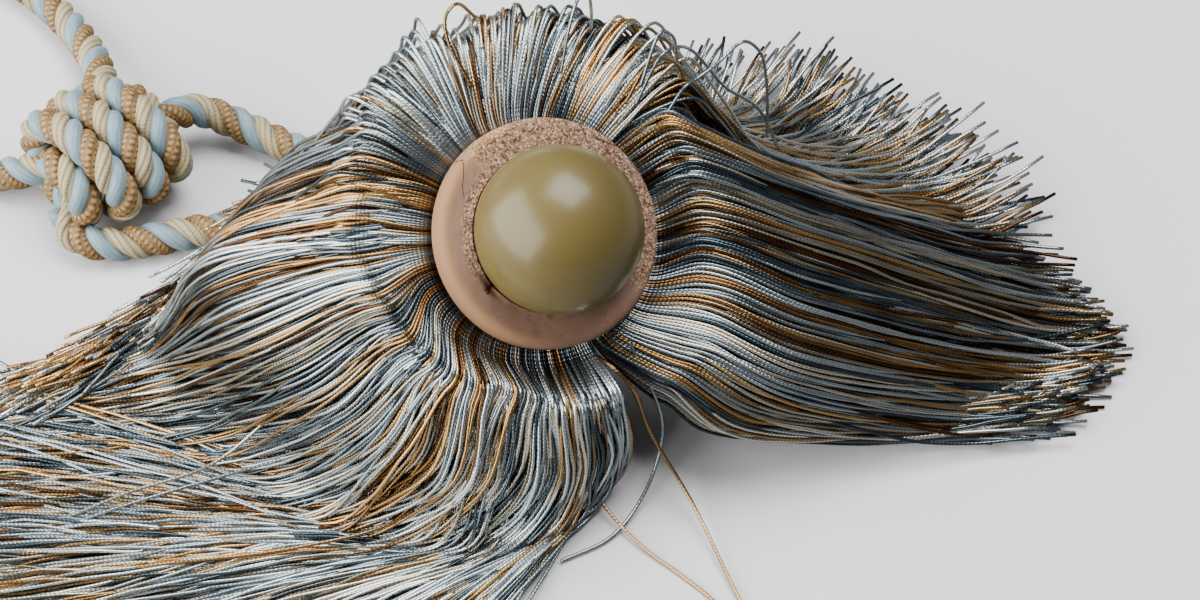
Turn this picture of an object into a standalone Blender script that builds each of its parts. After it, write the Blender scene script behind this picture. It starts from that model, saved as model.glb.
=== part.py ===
"""A curtain tieback tassel, lying head down with its skirt folded out over the head.

The frame is in metres with +Z up. The origin is the middle of the small flat spot on which the
turned head rests. The head's axis leans, so the wooden disc and the ball on its inner end face
up and to the front. The skirt springs from a narrow band behind the disc and falls all round.
A doubled rope leaves the head's neck for a knot, and beyond the knot it is one closed loop.
"""

import math
import random

import bmesh
import bpy
import numpy as np
from mathutils import Matrix, Vector

MM = 0.001
GAP = 0.3
WELD = 1e-4
SEED = 7

# The turned head and what sits on its inner end, in millimetres along and out from its axis.
AXIS = Vector((0.33, -0.536, 0.777)).normalized()
DISC_RADIUS = 23.3
DISC_THICKNESS = 7.0
DISC_ROUNDING = 1.8
BALL_RADIUS = 17.0
BALL_ABOVE_FACE = 5.0
BALL_PLAY = 0.4
SEAT_DEPTH = 4.0
PLUG_RADIUS = 18.0
BAND_RADIUS = 20.6
BAND_TOP = 7.6
BAND_LENGTH = 8.0
WAIST_RADIUS = 19.0
WAIST_ALONG = 20.0
DOME_ROUNDING = 8.0
DOME_OUT = 16.8
DOME_ALONG = 51.0
SWELL_STEPS = 6
NECK_RADIUS = 9.0
NECK_END = 61.0
NECK_FLARE = 1.5
FLAT_SPOT_DEPTH = 0.6
SEAT_STEPS = 3
RIM_STEPS = 4
BALL_STEPS = 11
DOME_STEPS = 7
BALL_SIDES = 32
HEAD_SIDES = 36
DISC_SIDES = 44
BAND_SIDES = 52

# The skirt: three layers of locks, each lock a bunch of yarns with a flat underside.
LENGTH_SPREAD = 3.0
LAYERS = 3
LOCKS_A_TURN = 52
LOCK_WIDTH = 3.4
FIRST_ROOT = 1.7
ROOT_PITCH = 2.4
CREST_PITCH = 4.0
FLOOR_PITCH = 2.6
LEAVE_RADIUS = 26.0
LEAVE_RISE = 0.8
LEAVE_SPREAD = 1.0
BODY_PITCH = 4.0
LAND_PITCH = 3.0
ROOT_SINK = 1.0
SHORTER_EACH_LAYER = 2.0
ROOT_WANDER = 0.05
FLOOR_RUN = (30.0, 100.0)
SPAN_SAMPLES = 12
LEAST_FLOOR_RUN = 8.0
# A lock's sections: where each stands, in spans of its route or then as a share of what is left
# of its length; its height; its width as a share of the space it has; and how far it leans
# with the head's axis, 0 being level.
SECTIONS = (
    (0.0, 1.0, 0.55, 1.0),
    (1.0, 1.0, 0.5, 1.0),
    (1.5, 1.0, 0.5, 0.5),
    (2.0, 1.4, 0.6, 0.0),
    (2.5, 1.4, 0.6, 0.0),
    (3.0, 2.0, 0.72, 0.0),
    (3.5, 2.0, 0.72, 0.0),
    (4.0, 2.0, 0.72, 0.0),
)
LAST_SECTIONS = (
    (0.4, 2.0, 0.72, 0.0),
    (1.0, 1.8, 0.72, 0.0),
)
# How each sweep of the skirt falls, a row for each angle round the disc. Angles are degrees:
# root is counted round the disc, headings on the table from +X towards +Y. Out is from the
# disc's middle, height from the table and length along the yarn, in millimetres.
COLUMNS = (
    "root", "crest_heading", "crest_out", "crest_height", "mid_heading", "mid_out", "mid_height",
    "land_heading", "land_out", "land_height", "tip_heading", "length",
)
SWEEPS = {
    "right": (
        (304, 326, 26, 33, 333, 44, 22, 349, 70, 2, 349, 108),
        (318, 341, 29, 36, 342, 51, 28, 356, 86, 0, 356, 112),
        (332, 355, 30, 40, 352, 54, 32, 361, 96, 0, 361, 116),
        (345, 370, 32, 44, 361, 56, 35, 365, 104, 0, 365, 120),
        (360, 380, 33, 49, 368, 57, 38, 369, 108, 0, 369, 124),
        (372, 389, 35, 53, 374, 58, 41, 373, 110, 0, 373, 124),
        (384, 395, 36, 58, 379, 59, 43, 377, 110, 0, 377, 124),
        (396, 401, 38, 62, 383, 59, 45, 380, 107, 0, 380, 122),
        (408, 407, 40, 65, 388, 58, 47, 383, 103, 0, 382, 118),
    ),
    "back": (
        (52, 50, 44, 66, 34, 68, 26, 25, 104, 0, 24, 140),
        (68, 64, 44, 70, 49, 67, 28, 44, 101, 0, 43, 140),
        (88, 78, 42, 76, 66, 64, 35, 62, 94, 0, 62, 138),
    ),
    "behind": (
        (94, 91, 38, 80, 82, 60, 48, 76, 76, 0, 75, 130),
        (104, 102, 38, 80, 97, 60, 49, 91, 76, 0, 89, 128),
        (117, 117, 40, 79, 114, 61, 49, 107, 76, 0, 104, 124),
        (127, 128, 41, 78, 124, 61, 47, 115, 75, 0, 112, 120),
    ),
    "over the leads": (
        (131, 134, 41, 77, 130, 60, 47, 124, 72, 9, 123, 112),
        (143, 148, 41, 74, 144, 61, 47, 140, 74, 9, 140, 110),
        (155, 160, 40, 71, 156, 63, 46, 154, 80, 8, 157, 112),
    ),
    "left and front": (
        (159, 165, 40, 68, 165, 65, 45, 165, 85, 1, 170, 126),
        (171, 174, 39, 65, 172, 68, 43, 170, 88, 0, 175, 130),
        (184, 185, 38, 61, 179, 70, 39, 175, 90, 0, 181, 134),
        (199, 201, 36, 56, 194, 60, 35, 183, 88, 0, 186, 140),
        (213, 214, 34, 51, 208, 52, 30, 194, 76, 0, 190, 140),
        (226, 227, 33, 48, 222, 46, 27, 207, 64, 0, 196, 140),
        (240, 241, 31, 45, 238, 42, 24, 223, 54, 0, 205, 138),
        (258, 259, 29, 42, 256, 37, 22, 242, 46, 0, 217, 134),
        (275, 276, 28, 39, 274, 35, 21, 262, 40, 0, 231, 130),
        (290, 292, 27, 37, 291, 34, 21, 283, 38, 0, 243, 126),
        (297, 301, 26, 36, 300, 34, 21, 291, 38, 0, 251, 124),
    ),
}
SWEEP_MARGIN = 1.0

# The rope is three strands laid right-handed; its leads run to the knot and its loop beyond.
ROPE_RADIUS = 3.9
ROPE_GROOVE = 0.9
ROPE_STRANDS = 3
ROPE_LAY = 15.0
LEAD_OFFSET = 4.3
LEAD_GAP = 1.0
LEAD_STRAIGHT = 5.0
ROPE_SPAN_SAMPLES = 8
KNOT_CENTRE = (-90.0, 45.0, 13.6)
KNOT_HEADING = 40.0
KNOT_HALF_LENGTH = 18.0
KNOT_HALF_WIDTH = 16.5
KNOT_HALF_HEIGHT = 13.3
KNOT_TURNS = 4
KNOT_ROWS_A_TURN = 6
KNOT_GROOVE = 1.9
KNOT_STRANDS_ROUND = 9
KNOT_STRAND_LEAN = 7.0
KNOT_STRAND_GROOVE = 0.5
KNOT_BLUNTNESS = 3.2
KNOT_SIDES = 26
ROPE_ROUTES = {
    "rope_lead_back": (
        (-26.5, 39.5, 4.2), (-39.0, 48.5, 4.0), (-51.0, 54.5, 4.1), (-62.0, 59.5, 6.0),
        (-71.0, 60.5, 9.5), (-76.2, 56.5, 12.1),
    ),
    "rope_lead_front": (
        (-27.0, 25.2, 4.2), (-41.0, 28.0, 4.0), (-55.0, 29.5, 4.0), (-68.0, 29.0, 4.0),
        (-79.0, 26.5, 4.0), (-88.0, 25.0, 4.2), (-95.5, 26.5, 5.2),
    ),
    "rope_loop": (
        (-107.8, 44.0, 7.5), (-117.0, 45.0, 4.6), (-134.0, 44.5, 4.0), (-154.0, 41.0, 4.0),
        (-178.0, 36.5, 4.0), (-203.0, 35.0, 4.0), (-227.0, 38.0, 4.0), (-248.0, 46.5, 4.0),
        (-263.0, 61.0, 4.0), (-270.0, 80.0, 4.0), (-267.0, 99.0, 4.0), (-255.0, 114.5, 4.0),
        (-237.0, 124.5, 4.0), (-215.0, 129.0, 4.0), (-190.0, 130.0, 4.0), (-165.0, 127.5, 4.0),
        (-141.0, 120.5, 4.0), (-121.0, 109.5, 4.0), (-107.0, 96.0, 4.2), (-98.0, 82.0, 6.0),
        (-92.7, 65.8, 11.35),
    ),
}

COLOURS = {
    "raw beech": ((0.62, 0.44, 0.34), 0.7),
    "olive lacquer": ((0.24, 0.21, 0.085), 0.2),
    "blue and gold yarn": ((0.42, 0.48, 0.47), 0.45),
    "grey blue winding": ((0.36, 0.46, 0.5), 0.5),
    "blue and cream rope": ((0.55, 0.5, 0.38), 0.6),
}


def clear_scene():
    for item in list(bpy.data.objects):
        bpy.data.objects.remove(item, do_unlink=True)


def make_material(name):
    colour, roughness = COLOURS[name]
    material = bpy.data.materials.get(name)
    if material is None:
        material = bpy.data.materials.new(name)
        material.use_nodes = True
        shader = material.node_tree.nodes["Principled BSDF"]
        shader.inputs["Base Color"].default_value = (*colour, 1.0)
        shader.inputs["Roughness"].default_value = roughness
        shader.inputs["Metallic"].default_value = 0.0
    return material


def add_object(name, shape, material_name, smooth_angle=math.radians(40)):
    """Makes one object from a bmesh drawn in millimetres, and frees the bmesh."""
    bmesh.ops.scale(shape, vec=(MM, MM, MM), verts=shape.verts)
    bmesh.ops.recalc_face_normals(shape, faces=shape.faces)
    mesh = bpy.data.meshes.new(name)
    shape.to_mesh(mesh)
    shape.free()
    mesh.shade_smooth()
    mesh.set_sharp_from_angle(angle=smooth_angle)
    mesh.materials.append(make_material(material_name))
    item = bpy.data.objects.new(name, mesh)
    bpy.context.collection.objects.link(item)
    return item


def head_directions():
    """The disc's own right and up, square to the head's axis."""
    right = Vector((1.0, 0.0, 0.0))
    right = (right - right.dot(AXIS) * AXIS).normalized()
    return right, AXIS.cross(right)


def disc_middle():
    """The middle of the disc's face, from where the head's rounded end meets the table."""
    down = Vector((0.0, 0.0, -1.0))
    lean = AXIS.dot(-down)
    side = (down + lean * AXIS).normalized()
    along = DOME_ALONG + DOME_ROUNDING * lean
    out = DOME_OUT + DOME_ROUNDING * side.dot(down)
    return AXIS * along - side * out - Vector((0.0, 0.0, FLAT_SPOT_DEPTH))


RIGHT, UP = head_directions()
DISC_MIDDLE = disc_middle()


def head_frame():
    """Takes a shape turned about Z, with the disc's face at z = 0, to its place on the head."""
    turn = Matrix((RIGHT, UP, AXIS)).transposed().to_4x4()
    return Matrix.Translation(DISC_MIDDLE) @ turn


def arc(middle_out, middle_along, radius, start, end, steps):
    """Points of a rounding in a turned outline; angles in degrees, 0 is straight outwards."""
    points = []
    for step in range(steps + 1):
        angle = math.radians(start + (end - start) * step / steps)
        out = middle_out + radius * math.cos(angle)
        along = middle_along + radius * math.sin(angle)
        points.append((out, along))
    return points


def turned(outline, sides):
    """A closed solid turned about Z from an outline of (out, along) that starts and ends on it."""
    shape = bmesh.new()
    corners = [shape.verts.new((out, 0.0, along)) for out, along in outline]
    edges = [shape.edges.new(pair) for pair in zip(corners, corners[1:])]
    bmesh.ops.spin(
        shape, geom=corners + edges, cent=(0, 0, 0), axis=(0, 0, 1),
        angle=2 * math.pi, steps=sides, use_duplicate=False,
    )
    bmesh.ops.remove_doubles(shape, verts=shape.verts, dist=WELD)
    return shape


def make_disc():
    """Raw turned wood with a round seat for the ball."""
    seat_radius = BALL_RADIUS + BALL_PLAY
    rim = DISC_RADIUS - DISC_ROUNDING
    rim_angle = math.degrees(math.asin(-BALL_ABOVE_FACE / seat_radius))
    floor_angle = math.degrees(math.asin(-(BALL_ABOVE_FACE + SEAT_DEPTH) / seat_radius))
    outline = [(0.0, -SEAT_DEPTH)]
    outline += arc(0.0, BALL_ABOVE_FACE, seat_radius, floor_angle, rim_angle, SEAT_STEPS)
    outline += arc(rim, -DISC_ROUNDING, DISC_ROUNDING, 90, 0, RIM_STEPS)
    outline += arc(rim, DISC_ROUNDING - DISC_THICKNESS, DISC_ROUNDING, 0, -90, RIM_STEPS)
    outline.append((0.0, -DISC_THICKNESS))
    shape = turned(outline, DISC_SIDES)
    shape.transform(head_frame())
    return add_object("disc", shape, "raw beech")


def make_ball():
    """The lacquered ball, with a flat under it where it is glued into the disc."""
    flat = BALL_ABOVE_FACE + SEAT_DEPTH - GAP
    flat_angle = math.degrees(math.asin(-flat / BALL_RADIUS))
    outline = arc(0.0, BALL_ABOVE_FACE, BALL_RADIUS, 90, flat_angle, BALL_STEPS)
    outline[0] = (0.0, BALL_ABOVE_FACE + BALL_RADIUS)
    outline.append((0.0, BALL_ABOVE_FACE - flat))
    shape = turned(outline, BALL_SIDES)
    shape.transform(head_frame())
    return add_object("ball", shape, "olive lacquer")


def make_head():
    """The covered head: a plug inside the skirt's band, a waist, a dome and a short neck."""
    top = -DISC_THICKNESS - GAP
    shoulder = -(BAND_TOP + BAND_LENGTH + GAP)
    dome_side = -DOME_ALONG
    outline = [(0.0, top), (PLUG_RADIUS, top), (PLUG_RADIUS, shoulder)]
    outline += [(WAIST_RADIUS, shoulder), (WAIST_RADIUS, -WAIST_ALONG)]
    for step in range(1, SWELL_STEPS):
        share = step / SWELL_STEPS
        ease = share * share * (3 - 2 * share)
        out = WAIST_RADIUS + (DOME_OUT + DOME_ROUNDING - WAIST_RADIUS) * ease
        along = -WAIST_ALONG + (dome_side + WAIST_ALONG) * share
        outline.append((out, along))
    outline += arc(DOME_OUT, dome_side, DOME_ROUNDING, 0, -90, DOME_STEPS)
    outline += [(NECK_RADIUS + NECK_FLARE, dome_side - DOME_ROUNDING)]
    outline += [(NECK_RADIUS, -NECK_END), (0.0, -NECK_END)]
    shape = turned(outline, HEAD_SIDES)
    shape.transform(head_frame())
    cut = bmesh.ops.bisect_plane(
        shape, geom=shape.verts[:] + shape.edges[:] + shape.faces[:],
        plane_co=(0, 0, 0), plane_no=(0, 0, 1), clear_inner=True,
    )
    rim = [item for item in cut["geom_cut"] if isinstance(item, bmesh.types.BMEdge)]
    bmesh.ops.contextual_create(shape, geom=rim)
    return add_object("head", shape, "grey blue winding")


def smooth_route(points, samples_a_span):
    """Points read along a centripetal Catmull-Rom curve through the given points."""
    given = np.array(points, dtype=float)
    ends = np.vstack([2 * given[0] - given[1], given, 2 * given[-1] - given[-2]])
    read = []
    for first in range(len(given) - 1):
        p0, p1, p2, p3 = ends[first : first + 4]
        t1 = np.linalg.norm(p1 - p0) ** 0.5
        t2 = t1 + np.linalg.norm(p2 - p1) ** 0.5
        t3 = t2 + np.linalg.norm(p3 - p2) ** 0.5
        for t in np.linspace(t1, t2, samples_a_span, endpoint=False):
            a1 = (t1 - t) / t1 * p0 + t / t1 * p1
            a2 = (t2 - t) / (t2 - t1) * p1 + (t - t1) / (t2 - t1) * p2
            a3 = (t3 - t) / (t3 - t2) * p2 + (t - t2) / (t3 - t2) * p3
            b1 = (t2 - t) / t2 * a1 + t / t2 * a2
            b2 = (t3 - t) / (t3 - t1) * a2 + (t - t1) / (t3 - t1) * a3
            read.append((t2 - t) / (t2 - t1) * b1 + (t - t1) / (t2 - t1) * b2)
    read.append(given[-1])
    return np.array(read)


def along_route(route):
    """How far along the route each of its points lies."""
    steps = np.linalg.norm(np.diff(route, axis=0), axis=1)
    return np.concatenate([[0.0], np.cumsum(steps)])


def points_at(route, distances):
    reached = along_route(route)
    return np.stack([np.interp(distances, reached, route[:, axis]) for axis in range(3)], axis=-1)


def sweep_values(root):
    """The table's values at an angle round the disc, or nothing between two sweeps."""
    for rows in SWEEPS.values():
        table = np.array(rows, dtype=float)
        for angle in (root, root + 360.0):
            first = table[0, 0] - SWEEP_MARGIN
            last = table[-1, 0] + SWEEP_MARGIN
            if first <= angle <= last:
                read = [np.interp(angle, table[:, 0], table[:, column]) for column in range(len(COLUMNS))]
                return dict(zip(COLUMNS, read))
    return None


def on_table(heading, out, height):
    """A point by its heading and distance from the disc's middle and its height."""
    angle = math.radians(heading)
    return np.array([
        DISC_MIDDLE.x + out * math.cos(angle),
        DISC_MIDDLE.y + out * math.sin(angle),
        height,
    ])


def lock_route(root, depth, trim):
    """The middle of a lock's flat underside: out of the band, over its crest, down and out."""
    values = sweep_values(root)
    if values is None:
        return None
    angle = math.radians(root)
    spoke = np.array(math.cos(angle) * RIGHT + math.sin(angle) * UP)
    middle = np.array(DISC_MIDDLE)
    inward = np.array(AXIS)
    root_along = BAND_TOP + FIRST_ROOT + ROOT_PITCH * depth
    rest = values["land_height"] + FLOOR_PITCH * (LAYERS - 1 - depth)
    touch = on_table(values["land_heading"], values["land_out"] - LAND_PITCH * depth, rest)
    run = on_table(values["tip_heading"], 1.0, 0.0) - on_table(0.0, 0.0, 0.0)
    route = smooth_route((
        middle - root_along * inward + (BAND_RADIUS - ROOT_SINK) * spoke,
        middle - (root_along - LEAVE_RISE) * inward + (LEAVE_RADIUS + LEAVE_SPREAD * depth) * spoke,
        on_table(values["crest_heading"], values["crest_out"],
                 values["crest_height"] - CREST_PITCH * depth),
        on_table(values["mid_heading"], values["mid_out"] - BODY_PITCH * depth,
                 values["mid_height"] - CREST_PITCH * depth),
        touch,
        touch + FLOOR_RUN[0] * run,
        touch + FLOOR_RUN[1] * run,
    ), SPAN_SAMPLES)
    route[:, 2] = np.maximum(route[:, 2], rest)
    reached = along_route(route)
    at = [reached[round(section[0] * SPAN_SAMPLES)] for section in SECTIONS]
    left_over = max(values["length"] - trim - at[-1], LEAST_FLOOR_RUN)
    at += [at[-1] + section[0] * left_over for section in LAST_SECTIONS]
    return points_at(route, np.array(at))


def add_lock(shape, root, depth, trim):
    """One closed three-sided lock, flat below and ridged above, no wider than its neighbours let."""
    route = lock_route(root, depth, trim)
    step = 360.0 / LOCKS_A_TURN
    beside = [lock_route(root + turn, depth, trim) for turn in (-step / 4, step / 4)]
    if route is None or beside[0] is None or beside[1] is None:
        return
    apart = 2 * (beside[1] - beside[0])
    last = len(route) - 1
    rings = []
    for at, (here, section) in enumerate(zip(route, SECTIONS + LAST_SECTIONS)):
        _, height, share, lean = section
        ahead = route[min(at + 1, last)] - route[max(at - 1, 0)]
        ahead /= np.linalg.norm(ahead)
        side = np.cross(lean * np.array(AXIS) + (1.0 - lean) * np.array((0.0, 0.0, 1.0)), ahead)
        side /= np.linalg.norm(side)
        above = np.cross(ahead, side)
        spacing = np.linalg.norm(apart[at] - apart[at].dot(ahead) * ahead)
        width = min(LOCK_WIDTH, share * spacing)
        corners = (here - side * width / 2, here + side * width / 2, here + above * height)
        rings.append([shape.verts.new(corner) for corner in corners])
    for near, far in zip(rings, rings[1:]):
        for corner in range(3):
            after = (corner + 1) % 3
            shape.faces.new((near[corner], near[after], far[after], far[corner]))
    shape.faces.new(reversed(rings[0]))
    shape.faces.new(rings[-1])


def make_skirt():
    """All the locks, fused at their roots into the woven band that is bound round the head."""
    inner = PLUG_RADIUS + GAP
    top = -BAND_TOP
    bottom = -(BAND_TOP + BAND_LENGTH)
    shape = bmesh.new()
    corners = [shape.verts.new((out, 0.0, along)) for out, along in (
        (inner, top), (BAND_RADIUS, top), (BAND_RADIUS, bottom), (inner, bottom),
    )]
    edges = [shape.edges.new((corners[i], corners[(i + 1) % 4])) for i in range(4)]
    bmesh.ops.spin(
        shape, geom=corners + edges, cent=(0, 0, 0), axis=(0, 0, 1),
        angle=2 * math.pi, steps=BAND_SIDES, use_duplicate=False,
    )
    bmesh.ops.remove_doubles(shape, verts=shape.verts, dist=WELD)
    shape.transform(head_frame())
    band = add_object("skirt", shape, "blue and gold yarn", math.radians(30))

    draw = random.Random(SEED)
    locks = bmesh.new()
    step = 360.0 / LOCKS_A_TURN
    for depth in range(LAYERS):
        for place in range(LOCKS_A_TURN):
            root = (place + depth / LAYERS + draw.uniform(-ROOT_WANDER, ROOT_WANDER)) * step
            trim = SHORTER_EACH_LAYER * depth + draw.uniform(-LENGTH_SPREAD, LENGTH_SPREAD)
            add_lock(locks, root, depth, trim)
    tool = add_object("skirt_locks", locks, "blue and gold yarn")
    tool.hide_render = True
    tool.display_type = "WIRE"
    union = band.modifiers.new("locks", "BOOLEAN")
    union.operation = "UNION"
    union.solver = "EXACT"
    union.object = tool
    return band


def rope_solid(name, route):
    """A laid rope as one solid: a lobed section that turns once in each lay."""
    total = along_route(route)[-1]
    steps = max(2, round(total / (ROPE_LAY / (2 * ROPE_STRANDS))))
    distances = np.linspace(0.0, total, steps + 1)
    middles = points_at(route, distances)
    shape = bmesh.new()
    rings = []
    sides = 2 * ROPE_STRANDS
    for number, (distance, middle) in enumerate(zip(distances, middles)):
        ahead = middles[min(number + 1, steps)] - middles[max(number - 1, 0)]
        ahead /= np.linalg.norm(ahead)
        side = np.cross((0.0, 0.0, 1.0), ahead)
        side /= np.linalg.norm(side)
        above = np.cross(ahead, side)
        ring = []
        for corner in range(sides):
            angle = 2 * math.pi * (corner / sides + distance / ROPE_LAY)
            radius = ROPE_RADIUS - ROPE_GROOVE * (corner % 2)
            ring.append(shape.verts.new(
                middle + radius * (math.cos(angle) * side + math.sin(angle) * above)
            ))
        rings.append(ring)
    for near, far in zip(rings, rings[1:]):
        for corner in range(sides):
            after = (corner + 1) % sides
            shape.faces.new((near[corner], near[after], far[after]))
            shape.faces.new((near[corner], far[after], far[corner]))
    shape.faces.new(reversed(rings[0]))
    shape.faces.new(rings[-1])
    return add_object(name, shape, "blue and cream rope")


def make_ropes():
    """Two leads from the neck to the knot, and the closed loop beyond it."""
    neck = DISC_MIDDLE - (NECK_END + LEAD_GAP) * AXIS
    across = AXIS.cross(Vector((0.0, 0.0, 1.0))).normalized()
    for name, sign in (("rope_lead_back", -1.0), ("rope_lead_front", 1.0)):
        start = neck + sign * LEAD_OFFSET * across
        soften = start - LEAD_STRAIGHT * AXIS
        route = smooth_route((tuple(start), tuple(soften), *ROPE_ROUTES[name]), ROPE_SPAN_SAMPLES)
        rope_solid(name, route)
    rope_solid("rope_loop", smooth_route(ROPE_ROUTES["rope_loop"], ROPE_SPAN_SAMPLES))


def make_knot():
    """The tight knot in the doubled rope, as the ridged outer shape of its turns."""
    rows = KNOT_ROWS_A_TURN * KNOT_TURNS
    shape = bmesh.new()
    rings = []
    for row in range(1, rows):
        share = -1.0 + 2.0 * row / rows
        envelope = (1.0 - abs(share) ** KNOT_BLUNTNESS) ** 0.5
        ridge = abs(math.cos(math.pi * KNOT_TURNS * (share + 1.0) / 2.0))
        ring = []
        for corner in range(KNOT_SIDES):
            angle = 2 * math.pi * corner / KNOT_SIDES
            strand = math.cos(KNOT_STRANDS_ROUND * angle + KNOT_STRAND_LEAN * share)
            shrink = KNOT_GROOVE * ridge ** 2 + KNOT_STRAND_GROOVE * (1.0 + strand)
            across = (KNOT_HALF_WIDTH * envelope - shrink) * math.cos(angle)
            above = (KNOT_HALF_HEIGHT * envelope - shrink) * math.sin(angle)
            ring.append(shape.verts.new((share * KNOT_HALF_LENGTH, across, above)))
        rings.append(ring)
    for near, far in zip(rings, rings[1:]):
        for corner in range(KNOT_SIDES):
            after = (corner + 1) % KNOT_SIDES
            shape.faces.new((near[corner], near[after], far[after], far[corner]))
    shape.faces.new(reversed(rings[0]))
    shape.faces.new(rings[-1])
    turn = Matrix.Rotation(math.radians(KNOT_HEADING), 4, "Z")
    shape.transform(Matrix.Translation(KNOT_CENTRE) @ turn)
    return add_object("knot", shape, "blue and cream rope")


clear_scene()
make_disc()
make_ball()
make_head()
make_skirt()
make_ropes()
make_knot()
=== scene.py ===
"""A curtain tieback tassel lying head down: its wooden disc and lacquered ball face up out of a
skirt of satin yarns, and a doubled rope runs from its neck to a knot and a loop."""

import math

import bpy
import numpy as np
from mathutils import Matrix, Vector, noise


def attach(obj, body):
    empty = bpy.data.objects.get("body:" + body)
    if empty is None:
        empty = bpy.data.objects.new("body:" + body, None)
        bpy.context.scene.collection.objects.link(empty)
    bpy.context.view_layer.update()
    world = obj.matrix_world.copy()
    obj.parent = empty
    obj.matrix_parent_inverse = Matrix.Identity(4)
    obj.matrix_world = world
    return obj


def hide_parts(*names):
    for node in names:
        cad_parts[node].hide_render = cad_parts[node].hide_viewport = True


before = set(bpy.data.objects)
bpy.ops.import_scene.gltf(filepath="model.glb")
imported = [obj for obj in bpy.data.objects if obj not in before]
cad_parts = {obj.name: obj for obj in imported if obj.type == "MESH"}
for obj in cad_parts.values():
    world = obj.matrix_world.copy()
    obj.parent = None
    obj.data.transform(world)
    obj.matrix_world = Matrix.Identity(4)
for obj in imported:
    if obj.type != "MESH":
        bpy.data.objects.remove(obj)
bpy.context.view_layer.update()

bpy.ops.object.select_all(action="DESELECT")

# --------------------------------------------
# Where the turned head stands: its axis leans, and the middle of the disc's face is worked out
# from the head's rounded end, which touches the table at the origin. Lengths are millimetres
# here and in the tables below; MM takes them to the scene's metres.
MM = 0.001
AXIS = Vector((0.33, -0.536, 0.777)).normalized()
DOME_OUT, DOME_ALONG, DOME_ROUNDING, FLAT_SPOT_DEPTH = 16.8, 51.0, 8.0, 0.6
DISC_RIGHT = (Vector((1, 0, 0)) - AXIS.x * AXIS).normalized()
DISC_UP = AXIS.cross(DISC_RIGHT)
down_side = (Vector((0, 0, -1)) + AXIS.z * AXIS).normalized()
DISC_MIDDLE = (
    AXIS * (DOME_ALONG + DOME_ROUNDING * AXIS.z)
    - down_side * (DOME_OUT - DOME_ROUNDING * down_side.z)
    - Vector((0, 0, FLAT_SPOT_DEPTH))
)
HEAD_FRAME = Matrix.Translation(DISC_MIDDLE * MM) @ Matrix(
    (DISC_RIGHT, DISC_UP, AXIS)
).transposed().to_4x4()

# --------------------------------------------
# The camera looks down on the disc, a little from the front, through a long lens. Its shift
# sets the disc a little to the left of the picture's middle and above it.
VIEW_DISTANCE = 0.6
VIEW_TILT = math.radians(40)
LENS_LENGTH = 90
IMAGE_WIDTH, SHIFT_RIGHT, SHIFT_UP = 1200, 49, -68


def add_object(name, data):
    """A new object in the scene, at the origin."""
    added = bpy.data.objects.new(name, data)
    bpy.context.collection.objects.link(added)
    return added


camera_data = bpy.data.cameras.new("camera")
camera_data.lens = LENS_LENGTH
camera_data.shift_x = SHIFT_RIGHT / IMAGE_WIDTH
camera_data.shift_y = SHIFT_UP / IMAGE_WIDTH
camera_data.clip_start = 0.01
camera = add_object("camera", camera_data)
camera.location = DISC_MIDDLE * MM + VIEW_DISTANCE * Vector(
    (0, -math.sin(VIEW_TILT), math.cos(VIEW_TILT))
)
camera.rotation_euler = (VIEW_TILT, 0, 0)
bpy.context.scene.camera = camera


# --------------------------------------------
# The rope: three strands laid right-handed, one smooth light blue, one ribbed cream and one
# gold gimp with brown checks. Two leads leave the head's neck and are tied in the knot.
STRAND_RADIUS = 1.92
STRAND_OUT = 2.02
ROPE_LAY = 15.0
RINGS_A_LAY = 16
STRAND_SIDES = 14
STEPS_A_SPAN = 8
NECK_END, LEAD_GAP, LEAD_OFFSET, LEAD_STRAIGHT = 61.0, 1.0, 4.3, 5.0
ROPE_ROUTES = {
    "rope_lead_back": (
        (-26.5, 39.5, 4.2), (-39, 48.5, 4), (-51, 54.5, 4.1), (-62, 59.5, 6),
        (-71, 60.5, 9.5), (-76.2, 56.5, 12.1), (-79.5, 52.5, 13.2),
    ),
    "rope_lead_front": (
        (-27, 25.2, 4.2), (-41, 28, 4), (-55, 29.5, 4), (-68, 29, 4),
        (-79, 26.5, 4), (-88, 25, 4.2), (-95.5, 26.5, 5.2), (-98.5, 32, 8),
    ),
    "rope_loop": (
        (-101, 43.5, 11), (-107.8, 44, 7.5), (-117, 45, 4.6), (-134, 44.5, 4),
        (-154, 41, 4), (-178, 36.5, 4), (-203, 35, 4), (-227, 38, 4),
        (-248, 46.5, 4), (-263, 61, 4), (-270, 80, 4), (-267, 99, 4),
        (-255, 114.5, 4), (-237, 124.5, 4), (-215, 129, 4), (-190, 130, 4),
        (-165, 127.5, 4), (-141, 120.5, 4), (-121, 109.5, 4), (-107, 96, 4.2),
        (-98, 82, 6), (-92.7, 65.8, 11.35), (-91, 58, 13.5),
    ),
}


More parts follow.
